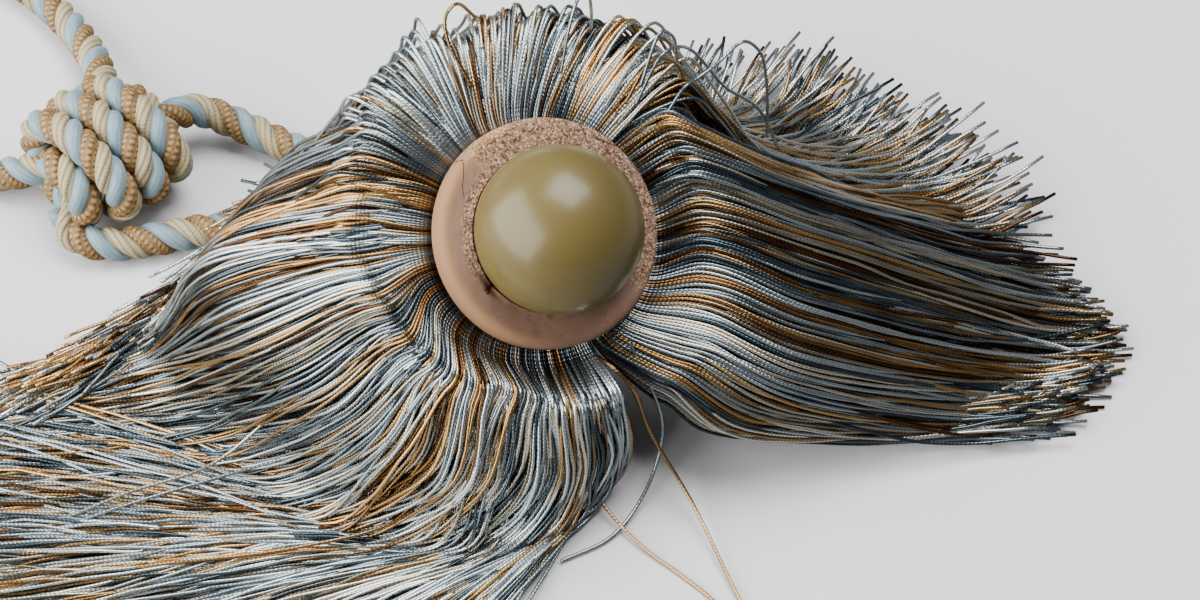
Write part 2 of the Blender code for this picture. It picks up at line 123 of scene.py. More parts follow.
def smooth_routes(points, samples_a_span):
    """Points along centripetal Catmull-Rom curves; points is (routes, points, 3)."""
    given = np.asarray(points, dtype=float)
    first = 2 * given[:, :1] - given[:, 1:2]
    last = 2 * given[:, -1:] - given[:, -2:-1]
    ends = np.concatenate([first, given, last], axis=1)
    read = []
    for span in range(given.shape[1] - 1):
        p0, p1, p2, p3 = (ends[:, span + step] for step in range(4))
        steps = np.array([p1 - p0, p2 - p1, p3 - p2])
        t1, t2, t3 = np.cumsum(np.linalg.norm(steps, axis=2, keepdims=True) ** 0.5, axis=0)
        for share in np.linspace(0, 1, samples_a_span, endpoint=False):
            t = t1 + share * (t2 - t1)
            a1 = (t1 - t) / t1 * p0 + t / t1 * p1
            a2 = (t2 - t) / (t2 - t1) * p1 + (t - t1) / (t2 - t1) * p2
            a3 = (t3 - t) / (t3 - t2) * p2 + (t - t2) / (t3 - t2) * p3
            b1 = (t2 - t) / t2 * a1 + t / t2 * a2
            b2 = (t3 - t) / (t3 - t1) * a2 + (t - t1) / (t3 - t1) * a3
            read.append((t2 - t) / (t2 - t1) * b1 + (t - t1) / (t2 - t1) * b2)
    read.append(given[:, -1])
    return np.stack(read, axis=1)


def sums_along(steps):
    """How far along each point of a route is, from the steps between its points."""
    return np.concatenate([np.zeros((len(steps), 1)), np.cumsum(steps, axis=1)], axis=1)


def read_along(routes, shares, lengths=None):
    """Points at these shares of each route, or of the length given for it, and how far along."""
    reached = sums_along(np.linalg.norm(np.diff(routes, axis=1), axis=2))
    if lengths is None:
        lengths = reached[:, -1]
    wanted = np.minimum(lengths, reached[:, -1])[:, None] * shares
    found = np.empty((*wanted.shape, 3))
    for number, (at, known) in enumerate(zip(wanted, reached)):
        for axis in range(3):
            found[number, :, axis] = np.interp(at, known, routes[number, :, axis])
    return found, wanted


def frames_along(routes):
    """Each ring's way ahead, and two directions across it that don't twist along the route."""
    ahead = np.empty_like(routes)
    ahead[:, 1:-1] = routes[:, 2:] - routes[:, :-2]
    ahead[:, 0] = routes[:, 1] - routes[:, 0]
    ahead[:, -1] = routes[:, -1] - routes[:, -2]
    ahead /= np.maximum(np.linalg.norm(ahead, axis=2, keepdims=True), 1e-9)
    across = np.empty_like(routes)
    start = np.cross(ahead[:, 0], (0.31, 0.17, 0.93))
    across[:, 0] = start / np.linalg.norm(start, axis=1, keepdims=True)
    for ring in range(1, routes.shape[1]):
        held = across[:, ring - 1]
        held = held - (held * ahead[:, ring]).sum(1, keepdims=True) * ahead[:, ring]
        across[:, ring] = held / np.linalg.norm(held, axis=1, keepdims=True)
    return ahead, across, np.cross(ahead, across)


def tubes_mesh(name, routes, along, radius, sides, tones=None, slots=None):
    """Many tubes as one mesh, from millimetres: their UV is centimetres along and turns round.
    Each tube may have a tone of its own, and the number of its material."""
    tubes, rings = routes.shape[:2]
    _, across, above = frames_along(routes)
    angles = 2 * np.pi * np.arange(sides) / sides
    ring_shape = np.cos(angles)[:, None] * across[:, :, None] + (
        np.sin(angles)[:, None] * above[:, :, None]
    )
    points = (routes[:, :, None] + radius * ring_shape).reshape(-1, 3) * MM
    tube, ring, side = np.meshgrid(
        np.arange(tubes), np.arange(rings - 1), np.arange(sides), indexing="ij"
    )
    after = (side + 1) % sides
    base = (tube * rings + ring) * sides
    walls = np.stack([base + side, base + after, base + sides + after, base + sides + side], -1)
    first = (np.arange(tubes) * rings * sides)[:, None]
    last = first + (rings - 1) * sides
    caps = np.concatenate([first + np.arange(sides)[::-1], last + np.arange(sides)])
    corners = np.concatenate([walls.reshape(-1), caps.reshape(-1)])
    sizes = np.concatenate([np.full(walls.size // 4, 4), np.full(len(caps), sides)])
    near, far = along[:, :-1, None] / 10, along[:, 1:, None] / 10
    uv_along = np.stack(np.broadcast_arrays(near, near, far, far), -1)
    uv_along = np.broadcast_to(uv_along, (tubes, rings - 1, sides, 4))
    uv_round = np.stack([side, side + 1, side + 1, side], -1) / sides
    wall_uv = np.stack([uv_along, uv_round], -1).reshape(-1, 2)
    uvs = np.concatenate([wall_uv, np.zeros((caps.size, 2))])
    mesh = bpy.data.meshes.new(name)
    mesh.vertices.add(len(points))
    mesh.vertices.foreach_set("co", points.astype(np.float32).ravel())
    mesh.loops.add(len(corners))
    mesh.loops.foreach_set("vertex_index", corners.astype(np.int32))
    mesh.polygons.add(len(sizes))
    starts = np.concatenate([[0], np.cumsum(sizes)[:-1]])
    mesh.polygons.foreach_set("loop_start", starts.astype(np.int32))
    layer = mesh.uv_layers.new(name="along_and_round")
    layer.uv.foreach_set("vector", uvs.astype(np.float32).ravel())
    if tones is not None:
        tone = mesh.attributes.new("tone", "FLOAT", "POINT")
        tone.data.foreach_set("value", np.repeat(tones, rings * sides).astype(np.float32))
    if slots is not None:
        faces = np.concatenate([np.repeat(slots, (rings - 1) * sides), slots, slots])
        mesh.polygons.foreach_set("material_index", faces.astype(np.int32))
    mesh.update(calc_edges=True)
    mesh.validate()
    mesh.shade_smooth()
    return add_object(name, mesh)


def new_material(name, roughness, **more):
    """A material, its nodes and its Principled shader, with some sockets set."""
    material = bpy.data.materials.new(name)
    material.use_nodes = True
    tree = material.node_tree
    shader = tree.nodes["Principled BSDF"]
    for label, value in {"Roughness": roughness, **more}.items():
        shader.inputs[label.replace("_", " ")].default_value = value
    return material, tree, shader


def feed(tree, socket, value):
    """Links another node's output into an input, or sets the input to a plain value."""
    if isinstance(value, bpy.types.NodeSocket):
        tree.links.new(value, socket)
    else:
        socket.default_value = value


def add_node(tree, kind, operation=None, **values):
    """A shader node with some inputs set or linked; _0 and _1 are the inputs of a math node."""
    node = tree.nodes.new("ShaderNode" + kind)
    if operation is not None:
        node.operation = operation
    for name, value in values.items():
        place = int(name[1:]) if name[1:].isdigit() else name.replace("_", " ")
        feed(tree, node.inputs[place], value)
    return node


def maths(tree, operation, first, second=0.0):
    """What a math node makes of one or two values."""
    return add_node(tree, "Math", operation, _0=first, _1=second).outputs[0]


def times(tree, first, second):
    """One value times another."""
    return maths(tree, "MULTIPLY", first, second)


def blend(tree, factor, first, second):
    """A colour mixed from two by a factor; a plain colour is its red, green and blue."""
    node = tree.nodes.new("ShaderNodeMix")
    node.data_type = "RGBA"
    for place, value in ((0, factor), (6, first), (7, second)):
        feed(tree, node.inputs[place], (*value, 1.0) if isinstance(value, tuple) else value)
    return node.outputs[2]


def clouds(tree, place, scale, detail, roughness=0.5):
    """Soft patches that change over a surface."""
    return add_node(
        tree, "TexNoise", Vector=place, Scale=scale, Detail=detail, Roughness=roughness,
    ).outputs[0]


def dress(tree, shader, colour, height, strength, depth):
    """Gives a material its colour, and a fine relief that is this many millimetres deep."""
    bump = add_node(tree, "Bump", Strength=strength, Distance=depth * MM, Height=height)
    tree.links.new(colour, shader.inputs["Base Color"])
    tree.links.new(bump.outputs[0], shader.inputs["Normal"])


def make_group(name, output, **inputs):
    """A node group with one output and number inputs, whose defaults are given."""
    group = bpy.data.node_groups.new(name, "ShaderNodeTree")
    for label, default in inputs.items():
        socket = group.interface.new_socket(label, in_out="INPUT", socket_type="NodeSocketFloat")
        socket.default_value = default
    group.interface.new_socket(output, in_out="OUTPUT", socket_type="NodeSocketFloat")
    inside = group.nodes.new("NodeGroupInput").outputs
    return group, inside, group.nodes.new("NodeGroupOutput").inputs[0]


def use_group(tree, group, **values):
    """What a node group puts out when it is placed in a material with its own values."""
    node = tree.nodes.new("ShaderNodeGroup")
    node.node_tree = group
    for name, value in values.items():
        feed(tree, node.inputs[name], value)
    return node.outputs[0]


# Plies: ridges that run round a thread as it is twisted, from the UV of a tube.
tree, given, out = make_group("twisted plies", "Ridge", Along=0, Round=0, Turns=3, Plies=2)
phase = maths(tree, "ADD", times(tree, given["Along"], given["Turns"]), given["Round"])
phase = times(tree, times(tree, phase, given["Plies"]), math.pi)
tree.links.new(maths(tree, "ABSOLUTE", maths(tree, "SINE", phase)), out)
plies_group = tree

# Fibres: fine streaks along a thread, a little different in each.
tree, given, out = make_group("fine fibres", "Streak", Along=0, Round=0, Stretch=0.6, Count=24)
place = add_node(
    tree, "CombineXYZ", X=times(tree, given["Along"], given["Stretch"]),
    Y=times(tree, given["Round"], given["Count"]),
)
tree.links.new(clouds(tree, place.outputs[0], 1.0, 2.0, 0.6), out)
fibres_group = tree


def uv_sockets(tree):
    """The sockets for centimetres along a tube and turns round it."""
    coordinates = add_node(tree, "UVMap")
    coordinates.uv_map = "along_and_round"
    split = add_node(tree, "SeparateXYZ", Vector=coordinates.outputs[0])
    return split.outputs["X"], split.outputs["Y"]


def plies(tree, turns, count):
    """The ridges of this many plies on a tube, that run round it so often a centimetre."""
    along, round_it = uv_sockets(tree)
    return use_group(tree, plies_group, Along=along, Round=round_it, Turns=turns, Plies=count)


def fibres(tree, stretch, count):
    """Streaks along a tube; a small stretch makes them long and a high count makes them fine."""
    along, round_it = uv_sockets(tree)
    return use_group(tree, fibres_group, Along=along, Round=round_it, Stretch=stretch, Count=count)


def rope_blue():
    """Smooth floss, fine fibres along it, with painted light on the crests of its plies."""
    material, tree, shader = new_material("rope light blue floss", 0.42, Sheen_Weight=0.25)
    streak = fibres(tree, 1.6, 34)
    ridge = plies(tree, -0.25, 11)
    colour = blend(tree, streak, (0.11, 0.20, 0.25), (0.26, 0.38, 0.44))
    # Painted light and shade: the crests of the plies are mixed toward a lighter blue, and the
    # grooves between them stay darker.
    colour = blend(tree, times(tree, ridge, 0.35), colour, (0.34, 0.47, 0.53))
    height = maths(tree, "ADD", times(tree, ridge, 0.6), streak)
    dress(tree, shader, colour, height, 0.45, 0.2)
    return material


def rope_cream():
    """Corded cream yarns that lie side by side in ribs along the strand, with painted shade
    between the ribs.
    """
    material, tree, shader = new_material("rope ribbed cream", 0.6)
    rib = plies(tree, -0.5, 7)
    twist = plies(tree, 16, 1)
    streak = fibres(tree, 3.0, 30)
    # Painted shade: the grooves between the ribs are coloured dark brown.
    colour = blend(tree, maths(tree, "POWER", rib, 0.6), (0.16, 0.11, 0.045), (0.48, 0.40, 0.22))
    colour = blend(tree, times(tree, streak, 0.5), colour, (0.62, 0.55, 0.38))
    height = maths(tree, "ADD", rib, times(tree, twist, 0.22))
    dress(tree, shader, colour, height, 0.8, 0.35)
    return material


def rope_gold():
    """Gold gimp wound across the strand, with brown checks in rows and painted shade between its
    ribs.
    """
    material, tree, shader = new_material("rope checked gold gimp", 0.55)
    rib = plies(tree, -0.4, 6)
    wraps = plies(tree, 22, 1)
    rows = plies(tree, 10, 1)
    streak = fibres(tree, 5.0, 16)
    check = times(tree, maths(tree, "GREATER_THAN", rib, 0.45), rows)
    check = times(tree, maths(tree, "POWER", check, 2.0), streak)
    # Painted shade: the grooves between the ribs are coloured dark brown. The brown checks below
    # are the gimp's own pattern.
    colour = blend(tree, maths(tree, "POWER", rib, 0.7), (0.15, 0.07, 0.02), (0.46, 0.30, 0.115))
    colour = blend(tree, times(tree, check, 1.7), colour, (0.09, 0.035, 0.01))
    height = maths(tree, "ADD", rib, times(tree, wraps, 0.3))
    dress(tree, shader, colour, height, 0.5, 0.3)
    return material


ROPE_MATERIALS = (rope_blue(), rope_cream(), rope_gold())


def make_rope(name, line, lay):
    """Three strands laid round a line at one turn a lay; also the line, point by point."""
    total = np.linalg.norm(np.diff(line, axis=0), axis=1).sum()
    shares = np.linspace(0, 1, max(12, round(total / lay * RINGS_A_LAY)))
    middle, along = read_along(line[None], shares)
    _, across, above = frames_along(middle)
    routes = []
    for strand in range(3):
        angle = 2 * np.pi * (along[0] / lay + strand / 3)
        offset = np.cos(angle)[:, None] * across[0] + np.sin(angle)[:, None] * above[0]
        routes.append(middle[0] + STRAND_OUT * offset)
    _, along = read_along(np.array(routes), shares)
    slots = np.arange(3)
    piece = tubes_mesh(name, np.array(routes), along, STRAND_RADIUS, STRAND_SIDES, slots=slots)
    for material in ROPE_MATERIALS:
        piece.data.materials.append(material)
    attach(piece, "root")
    return piece, middle[0]


neck = DISC_MIDDLE - (NECK_END + LEAD_GAP) * AXIS
neck_side = AXIS.cross(Vector((0, 0, 1))).normalized()
for name, sign in (("rope_lead_back", -1), ("rope_lead_front", 1)):
    start = neck + sign * LEAD_OFFSET * neck_side
    soften = start - LEAD_STRAIGHT * AXIS
    line = smooth_routes([(tuple(start), tuple(soften), *ROPE_ROUTES[name])], STEPS_A_SPAN)[0]
    lead, middle = make_rope(name + "_strands", line, ROPE_LAY)
    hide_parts(name)


# --------------------------------------------
# The knot: the doubled rope is wound four times round itself and drawn tight, so its turns lie
# side by side in a barrel. It is the same three-strand rope, and it holds by its own grip.
KNOT_CENTRE = Vector((-90.0, 45.0, 13.6))
KNOT_HEADING = math.radians(42)
KNOT_TURNS, KNOT_STEPS, KNOT_FIRST_ANGLE = 4.15, 150, 0.9
KNOT_HALF_LENGTH, KNOT_WIDE, KNOT_HIGH = 12.0, 14.4, 9.4
KNOT_LAY = 13.0
# The turns get smaller to the barrel's ends, and the rope's own ends are tucked inside.
KNOT_END_NARROWER = 0.16
KNOT_TUCK_TURNS, KNOT_TUCK_RADIUS = 0.55, 0.35

turns = np.linspace(0, KNOT_TURNS, KNOT_STEPS)
run = np.clip((turns - 0.5) / (KNOT_TURNS - 1), -0.02, 1.02) * 2 - 1
out_of_tuck = np.minimum(turns, KNOT_TURNS - turns) / KNOT_TUCK_TURNS
tuck = np.minimum(1, KNOT_TUCK_RADIUS + (1 - KNOT_TUCK_RADIUS) * out_of_tuck)
swell = (1 - KNOT_END_NARROWER * np.abs(run) ** 3) * tuck
angle = 2 * np.pi * turns + KNOT_FIRST_ANGLE
barrel = np.stack([
    run * KNOT_HALF_LENGTH,
    KNOT_WIDE * swell * np.cos(angle),
    KNOT_HIGH * swell * np.sin(angle),
], -1)
turned = np.array(Matrix.Rotation(KNOT_HEADING, 3, "Z"))
barrel = barrel @ turned.T + np.array(KNOT_CENTRE)
knot, _ = make_rope("knot_turns", barrel, KNOT_LAY)
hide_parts("knot")


# --------------------------------------------
# The loop: the same rope goes on from the knot, round the curtain and back into the knot. Here
# it lies on the table as one open oval.
line = smooth_routes([ROPE_ROUTES["rope_loop"]], STEPS_A_SPAN)[0]
loop, middle = make_rope("rope_loop_strands", line, ROPE_LAY)
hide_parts("rope_loop")


# --------------------------------------------
# The table top under it all, and the soft light of a studio: a low broad lamp on the left
# front, one overhead that is a little behind, and dim walls all round. The table looks pale to
# the camera only, so it throws little light up into the yarns.
TABLE_SIDE = 4
LAMP_DISTANCE = 1.5


def place_on(tree):
    """Where a point lies on the table or on a piece."""
    return add_node(tree, "TexCoord").outputs["Object"]


bpy.ops.mesh.primitive_plane_add(size=TABLE_SIDE)
floor = bpy.context.object
floor.name = "table_top"
material, tree, shader = new_material("pale grey paper", 0.6)
grain = clouds(tree, place_on(tree), 900.0, 3.0)
colour = blend(tree, grain, (0.79, 0.785, 0.82), (0.84, 0.835, 0.87))
seen = add_node(tree, "LightPath").outputs["Is Camera Ray"]
colour = blend(tree, seen, (0.18, 0.18, 0.19), colour)
tree.links.new(colour, shader.inputs["Base Color"])
floor.data.materials.append(material)


def add_lamp(name, heading, size, power, colour):
    """A broad soft lamp that looks at the disc from a heading given as a direction."""
    data = bpy.data.lights.new(name, "AREA")
    data.shape = "RECTANGLE"
    data.size, data.size_y = size
    data.energy = power
    data.color = colour
    lamp = add_object(name, data)
    towards = Vector(heading).normalized()
    lamp.location = DISC_MIDDLE * MM + LAMP_DISTANCE * towards
    lamp.rotation_euler = towards.to_track_quat("Z", "Y").to_euler()


add_lamp("left softbox", (-0.866, -0.263, 0.42), (2.5, 1.5), 85.0, (1.0, 0.985, 0.96))
add_lamp("overhead softbox", (0.17, 0.27, 0.95), (1.1, 1.1), 36.0, (1.0, 1.0, 1.0))


def ramp(tree, value, start, end, low=0.0, high=1.0):
    """Takes what lies between start and end to between low and high, and no further."""
    return add_node(
        tree, "MapRange", Value=value, From_Min=start, From_Max=end, To_Min=low, To_Max=high
    ).outputs[0]


BRIGHT_SIDE = Vector((-0.62, 0.30, 0.72))
DARKEST_WALL, BRIGHTEST_WALL = 0.015, 0.22
world = bpy.data.worlds.new("dim walls")
world.use_nodes = True
tree = world.node_tree
heading = add_node(tree, "TexCoord").outputs["Generated"]
facing = add_node(tree, "VectorMath", "DOT_PRODUCT", _0=heading, _1=BRIGHT_SIDE)
walls = ramp(tree, facing.outputs["Value"], -0.2, 1.0, DARKEST_WALL, BRIGHTEST_WALL)
background = tree.nodes["Background"]
background.inputs["Color"].default_value = (0.86, 0.89, 0.95, 1)
tree.links.new(walls, background.inputs["Strength"])
bpy.context.scene.world = world


# --------------------------------------------
# The disc: raw beech turned on a lathe, 47 mm across and 7 mm thick with a rounded rim. It is
# glued to the head's inner end, and a hollow in its face holds the ball. Its face is end grain
# with open pores, roughly torn round the ball.
DISC_RADIUS, DISC_THICKNESS, DISC_ROUNDING = 23.3, 7.0, 1.8
BALL_RADIUS, BALL_ABOVE_FACE, BALL_PLAY, SEAT_DEPTH = 17.0, 5.0, 0.2, 4.0


def arc(middle_out, middle_along, radius, start, end, steps):
    """Points of a rounding in a turned outline; angles in degrees, 0 is straight outwards."""
    angles = np.radians(np.linspace(start, end, steps + 1))
    return [
        (middle_out + radius * math.cos(angle), middle_along + radius * math.sin(angle))
        for angle in angles
    ]


def open_for_editing(piece):
    """Selects this piece alone and, in edit mode, all of its mesh."""
    bpy.ops.object.select_all(action="DESELECT")
    bpy.context.view_layer.objects.active = piece
    piece.select_set(True)
    bpy.ops.object.mode_set(mode="EDIT")
    bpy.ops.mesh.select_all(action="SELECT")


def spin_piece(name, outline, sides):
    """Spins an outline of (out, along), in millimetres, about Z."""
    mesh = bpy.data.meshes.new(name)
    corners = [(out * MM, 0.0, along * MM) for out, along in outline]
    mesh.from_pydata(corners, [(i, i + 1) for i in range(len(corners) - 1)], [])
    piece = add_object(name, mesh)
    open_for_editing(piece)
    bpy.ops.mesh.spin(steps=sides, angle=2 * math.pi, center=(0, 0, 0), axis=(0, 0, 1))
    bpy.ops.mesh.select_all(action="SELECT")
    bpy.ops.mesh.remove_doubles(threshold=1e-6)
    bpy.ops.mesh.normals_make_consistent(inside=False)
    bpy.ops.object.mode_set(mode="OBJECT")
    mesh.shade_smooth()
    return piece


def take_to_head(piece):
    """Puts a piece that was made about Z, with the disc's face at z = 0, in its place."""
    piece.data.transform(HEAD_FRAME)
    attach(piece, "root")


def head_place(tree):
    """Where a point lies from the middle of the disc's face, with Z along the head."""
    turn_back = HEAD_FRAME.inverted()
    to_head = add_node(tree, "Mapping", Vector=place_on(tree))
    to_head.inputs["Location"].default_value = turn_back.to_translation()
    to_head.inputs["Rotation"].default_value = turn_back.to_euler()
    return to_head.outputs[0]


seat = BALL_RADIUS + BALL_PLAY
rim = DISC_RADIUS - DISC_ROUNDING
edge_angle = math.degrees(math.asin(-BALL_ABOVE_FACE / seat))
floor_angle = math.degrees(math.asin(-(BALL_ABOVE_FACE + SEAT_DEPTH) / seat))
seat_floor = seat * math.cos(math.radians(floor_angle))
seat_edge = seat * math.cos(math.radians(edge_angle))
outline = [(0.0, -SEAT_DEPTH)]
outline += [(seat_floor * step / 6, -SEAT_DEPTH) for step in range(1, 6)]
outline += arc(0.0, BALL_ABOVE_FACE, seat, floor_angle, edge_angle, 10)
outline += [(seat_edge + (rim - seat_edge) * step / 24, 0.0) for step in range(1, 24)]
outline += arc(rim, -DISC_ROUNDING, DISC_ROUNDING, 90, 0, 8)
outline += [(DISC_RADIUS, -DISC_ROUNDING - (DISC_THICKNESS - 2 * DISC_ROUNDING) * step / 4)
            for step in range(1, 4)]
outline += arc(rim, DISC_ROUNDING - DISC_THICKNESS, DISC_ROUNDING, 0, -90, 8)
outline += [(rim * step / 6, -DISC_THICKNESS) for step in range(5, 0, -1)]
outline.append((0.0, -DISC_THICKNESS))
disc = spin_piece("disc_turned", outline, 240)

# The face is worn and torn: shallow dips all over, a ragged step round the ball, and one deep
# notch in it at the lower left.
NOTCH_AT, NOTCH_WIDTH, NOTCH_DEPTH = math.radians(222), math.radians(6), 1.3
DIP_DEPTH, DIPS_A_MILLIMETRE = 0.10, 0.35
TORN_FROM_SEAT, TORN_WIDTH, TORN_DEPTH, TORN_MORE = 0.4, 0.8, 0.04, 0.25
WORN_DOWN_TO, PAST_RIM, RIM_FADE = -0.9 * DISC_ROUNDING, 1.0, 1.5
for point in disc.data.vertices:
    x, y, z = (value / MM for value in point.co)
    out = math.hypot(x, y)
    if z < WORN_DOWN_TO or out < seat_floor:
        continue
    angle = math.atan2(y, x) % (2 * math.pi)
    sink = DIP_DEPTH * noise.fractal(Vector((x, y, z)) * DIPS_A_MILLIMETRE, 1.0, 2.0, 3)
    ring = math.exp(-((out - seat_edge - TORN_FROM_SEAT) / TORN_WIDTH) ** 2)
    ragged = noise.noise(Vector((4 * math.cos(angle), 4 * math.sin(angle), 0.7)) * 1.6)
    notch = math.exp(-((angle - NOTCH_AT) / NOTCH_WIDTH) ** 2)
    sink -= ring * (TORN_DEPTH + TORN_MORE * abs(ragged) + NOTCH_DEPTH * notch)
    point.co.z += sink * MM * min(1.0, max(0.0, (rim + PAST_RIM - out) / RIM_FADE))

material, tree, shader = new_material("raw turned beech", 0.8, Specular_IOR_Level=0.15)
wood = head_place(tree)
split = add_node(tree, "SeparateXYZ", Vector=wood)
right, up = split.outputs["X"], split.outputs["Y"]
across = add_node(tree, "CombineXYZ", X=right, Y=up).outputs[0]
out = add_node(tree, "VectorMath", "LENGTH", _0=across).outputs["Value"]
turned = maths(tree, "ARCTAN2", up, right)
waver = maths(tree, "SUBTRACT", clouds(tree, wood, 260.0, 2.0), 0.5)


def crack(start, end, width):
    """A dark line from one place on the face to another, that wavers a little."""
    length = math.dist(start, end)
    slope = math.atan2(end[1] - start[1], end[0] - start[0])
    line = add_node(tree, "Mapping", Vector=wood)
    line.vector_type = "TEXTURE"
    line.inputs["Location"].default_value = (start[0] * MM, start[1] * MM, 0)
    line.inputs["Rotation"].default_value = (0, 0, slope)
    place = add_node(tree, "SeparateXYZ", Vector=line.outputs[0]).outputs
    off = maths(tree, "ADD", place["Y"], times(tree, waver, 0.0016))
    inside = maths(tree, "LESS_THAN", maths(tree, "ABSOLUTE", off), width * MM / 2)
    inside = times(tree, inside, maths(tree, "GREATER_THAN", place["X"], 0.0))
    return times(tree, inside, maths(tree, "LESS_THAN", place["X"], length * MM))


# Open grain shows at the top, at the right and close round the ball; the outer left is smooth.
# Short dark cracks run in from the rim.
sides = maths(tree, "ADD", times(tree, right, 0.7), up)
round_ball = times(tree, ramp(tree, out, 0.0194, 0.0178), ramp(tree, up, -0.013, -0.006))
grainy = maths(tree, "MAXIMUM", ramp(tree, sides, 0.0, 0.007), round_ball)
open_cells = add_node(tree, "TexVoronoi", Vector=wood, Scale=3000.0)
cell = add_node(tree, "SeparateColor", Color=open_cells.outputs["Color"]).outputs[0]
pores = times(tree, maths(tree, "LESS_THAN", cell, 0.19), grainy)
flecks = times(tree, maths(tree, "GREATER_THAN", cell, 0.78), grainy)
round_it = add_node(tree, "CombineXYZ", X=times(tree, turned, 0.006), Y=out).outputs[0]
streaks = clouds(tree, round_it, 900.0, 4.0, 0.7)
spokes = add_node(tree, "CombineXYZ", X=turned, Y=times(tree, out, 60.0)).outputs[0]
lines = times(tree, clouds(tree, spokes, 26.0, 3.0), ramp(tree, up, -0.006, -0.016))
colour = blend(tree, clouds(tree, wood, 120.0, 4.0), (0.215, 0.127, 0.084), (0.35, 0.225, 0.158))
colour = blend(tree, times(tree, streaks, 0.75), colour, (0.27, 0.155, 0.11))
colour = blend(tree, times(tree, lines, 0.9), colour, (0.19, 0.105, 0.075))
pale_rim = times(tree, ramp(tree, out, 0.0206, 0.0216), ramp(tree, right, 0.002, -0.012))
colour = blend(tree, times(tree, pale_rim, 0.75), colour, (0.36, 0.20, 0.10))
colour = blend(tree, times(tree, flecks, 0.75), colour, (0.70, 0.49, 0.28))
colour = blend(tree, times(tree, pores, 0.9), colour, (0.10, 0.042, 0.022))
# The notch at the lower left is painted dark. Torn wood lies at its bottom, and there is painted
# shade where the ball's edge hangs over it.
torn_wood_and_shade = maths(
    tree, "MAXIMUM", crack((-14.0, -12.2), (-11.6, -10.8), 0.5),
    crack((-13.3, -12.9), (-11.8, -10.4), 0.7),
)
colour = blend(tree, torn_wood_and_shade, colour, (0.10, 0.03, 0.014))
cracks = crack((6.0, 23.3), (7.9, 18.2), 0.28)
for start, end, width in (
    ((8.8, 19.6), (14.9, 18.0), 0.3), ((14.9, 18.0), (17.9, 15.3), 0.3),
    ((-18.4, 5.9), (-18.4, 13.4), 0.2), ((-21.4, 13.4), (-18.2, 13.7), 0.25),
):
    cracks = maths(tree, "MAXIMUM", cracks, crack(start, end, width))
colour = blend(tree, times(tree, cracks, 0.85), colour, (0.07, 0.03, 0.018))
height = maths(tree, "SUBTRACT", times(tree, streaks, 0.5), pores)
dress(tree, shader, colour, maths(tree, "SUBTRACT", height, cracks), 0.7, 0.2)
disc.data.materials.append(material)
take_to_head(disc)
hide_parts("disc")


# --------------------------------------------
# The ball: a turned wooden knob under thick olive lacquer, glued into the disc's hollow by a
# small flat. The lacquer is glossy with a few specks of dust and faint drips.
BALL_FLAT = 0.3


def cut_flat(piece, height):
    """Cuts off what lies below a height, in millimetres, and closes the cut."""
    open_for_editing(piece)
    bpy.ops.mesh.bisect(
        plane_co=(0, 0, height * MM), plane_no=(0, 0, 1), use_fill=True, clear_inner=True
    )
    bpy.ops.object.mode_set(mode="OBJECT")


bpy.ops.mesh.primitive_uv_sphere_add(
    segments=128, ring_count=72, radius=BALL_RADIUS * MM, location=(0, 0, BALL_ABOVE_FACE * MM)
)
ball = bpy.context.object
ball.name = "ball_lacquered"
bpy.ops.object.transform_apply(location=True, rotation=True, scale=True)
cut_flat(ball, BALL_FLAT - SEAT_DEPTH)
ball.data.shade_smooth()
material, tree, shader = new_material(
    "olive lacquer", 0.2, Specular_IOR_Level=0.42, Coat_Weight=0.12, Coat_Roughness=0.12
)
position = place_on(tree)
mottle = clouds(tree, position, 70.0, 5.0)
specks = add_node(tree, "TexVoronoi", Vector=position, Scale=520.0)
speck = maths(tree, "LESS_THAN", specks.outputs["Distance"], 0.045)
colour = blend(tree, mottle, (0.126, 0.095, 0.030), (0.154, 0.119, 0.039))
colour = blend(tree, times(tree, speck, 0.4), colour, (0.32, 0.28, 0.15))
rough = maths(tree, "ADD", times(tree, mottle, 0.14), 0.24)
wave = clouds(tree, position, 160.0, 1.0)
height = maths(tree, "ADD", wave, times(tree, speck, 0.5))
dress(tree, shader, colour, height, 0.06, 0.4)
tree.links.new(rough, shader.inputs["Roughness"])
ball.data.materials.append(material)
take_to_head(ball)
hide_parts("ball")


# --------------------------------------------
# The head: a wooden mould turned with a waist, a rounded dome and a short neck, and covered
# with satin yarn wound round it side by side. It is hidden under the skirt and stands on a
# small flat spot.
PLUG_RADIUS, WAIST_RADIUS, WAIST_ALONG = 18.0, 19.0, 20.0
NECK_RADIUS, NECK_FLARE = 9.0, 1.5
BAND_TOP, BAND_LENGTH, BAND_RADIUS = 7.6, 8.0, 20.6
GAP = 0.3
WIND_PITCH, WIND_GROOVE = 1.6, 0.22
YARNS_A_BAND, GOLD_FROM = 5, 0.8

top = -DISC_THICKNESS - GAP
shoulder = -(BAND_TOP + BAND_LENGTH + GAP)
turned_line = [(0.0, top), (PLUG_RADIUS, top), (PLUG_RADIUS, shoulder), (WAIST_RADIUS, shoulder)]
turned_line.append((WAIST_RADIUS, -WAIST_ALONG))
for step in range(1, 12):
    share = step / 12
    ease = share * share * (3 - 2 * share)
    turned_line.append((
        WAIST_RADIUS + (DOME_OUT + DOME_ROUNDING - WAIST_RADIUS) * ease,
        -WAIST_ALONG - (DOME_ALONG - WAIST_ALONG) * share,
    ))
turned_line += arc(DOME_OUT, -DOME_ALONG, DOME_ROUNDING, 0, -90, 14)
turned_line.append((NECK_RADIUS + NECK_FLARE, -DOME_ALONG - DOME_ROUNDING))
turned_line += [(NECK_RADIUS, -NECK_END), (0.0, -NECK_END)]
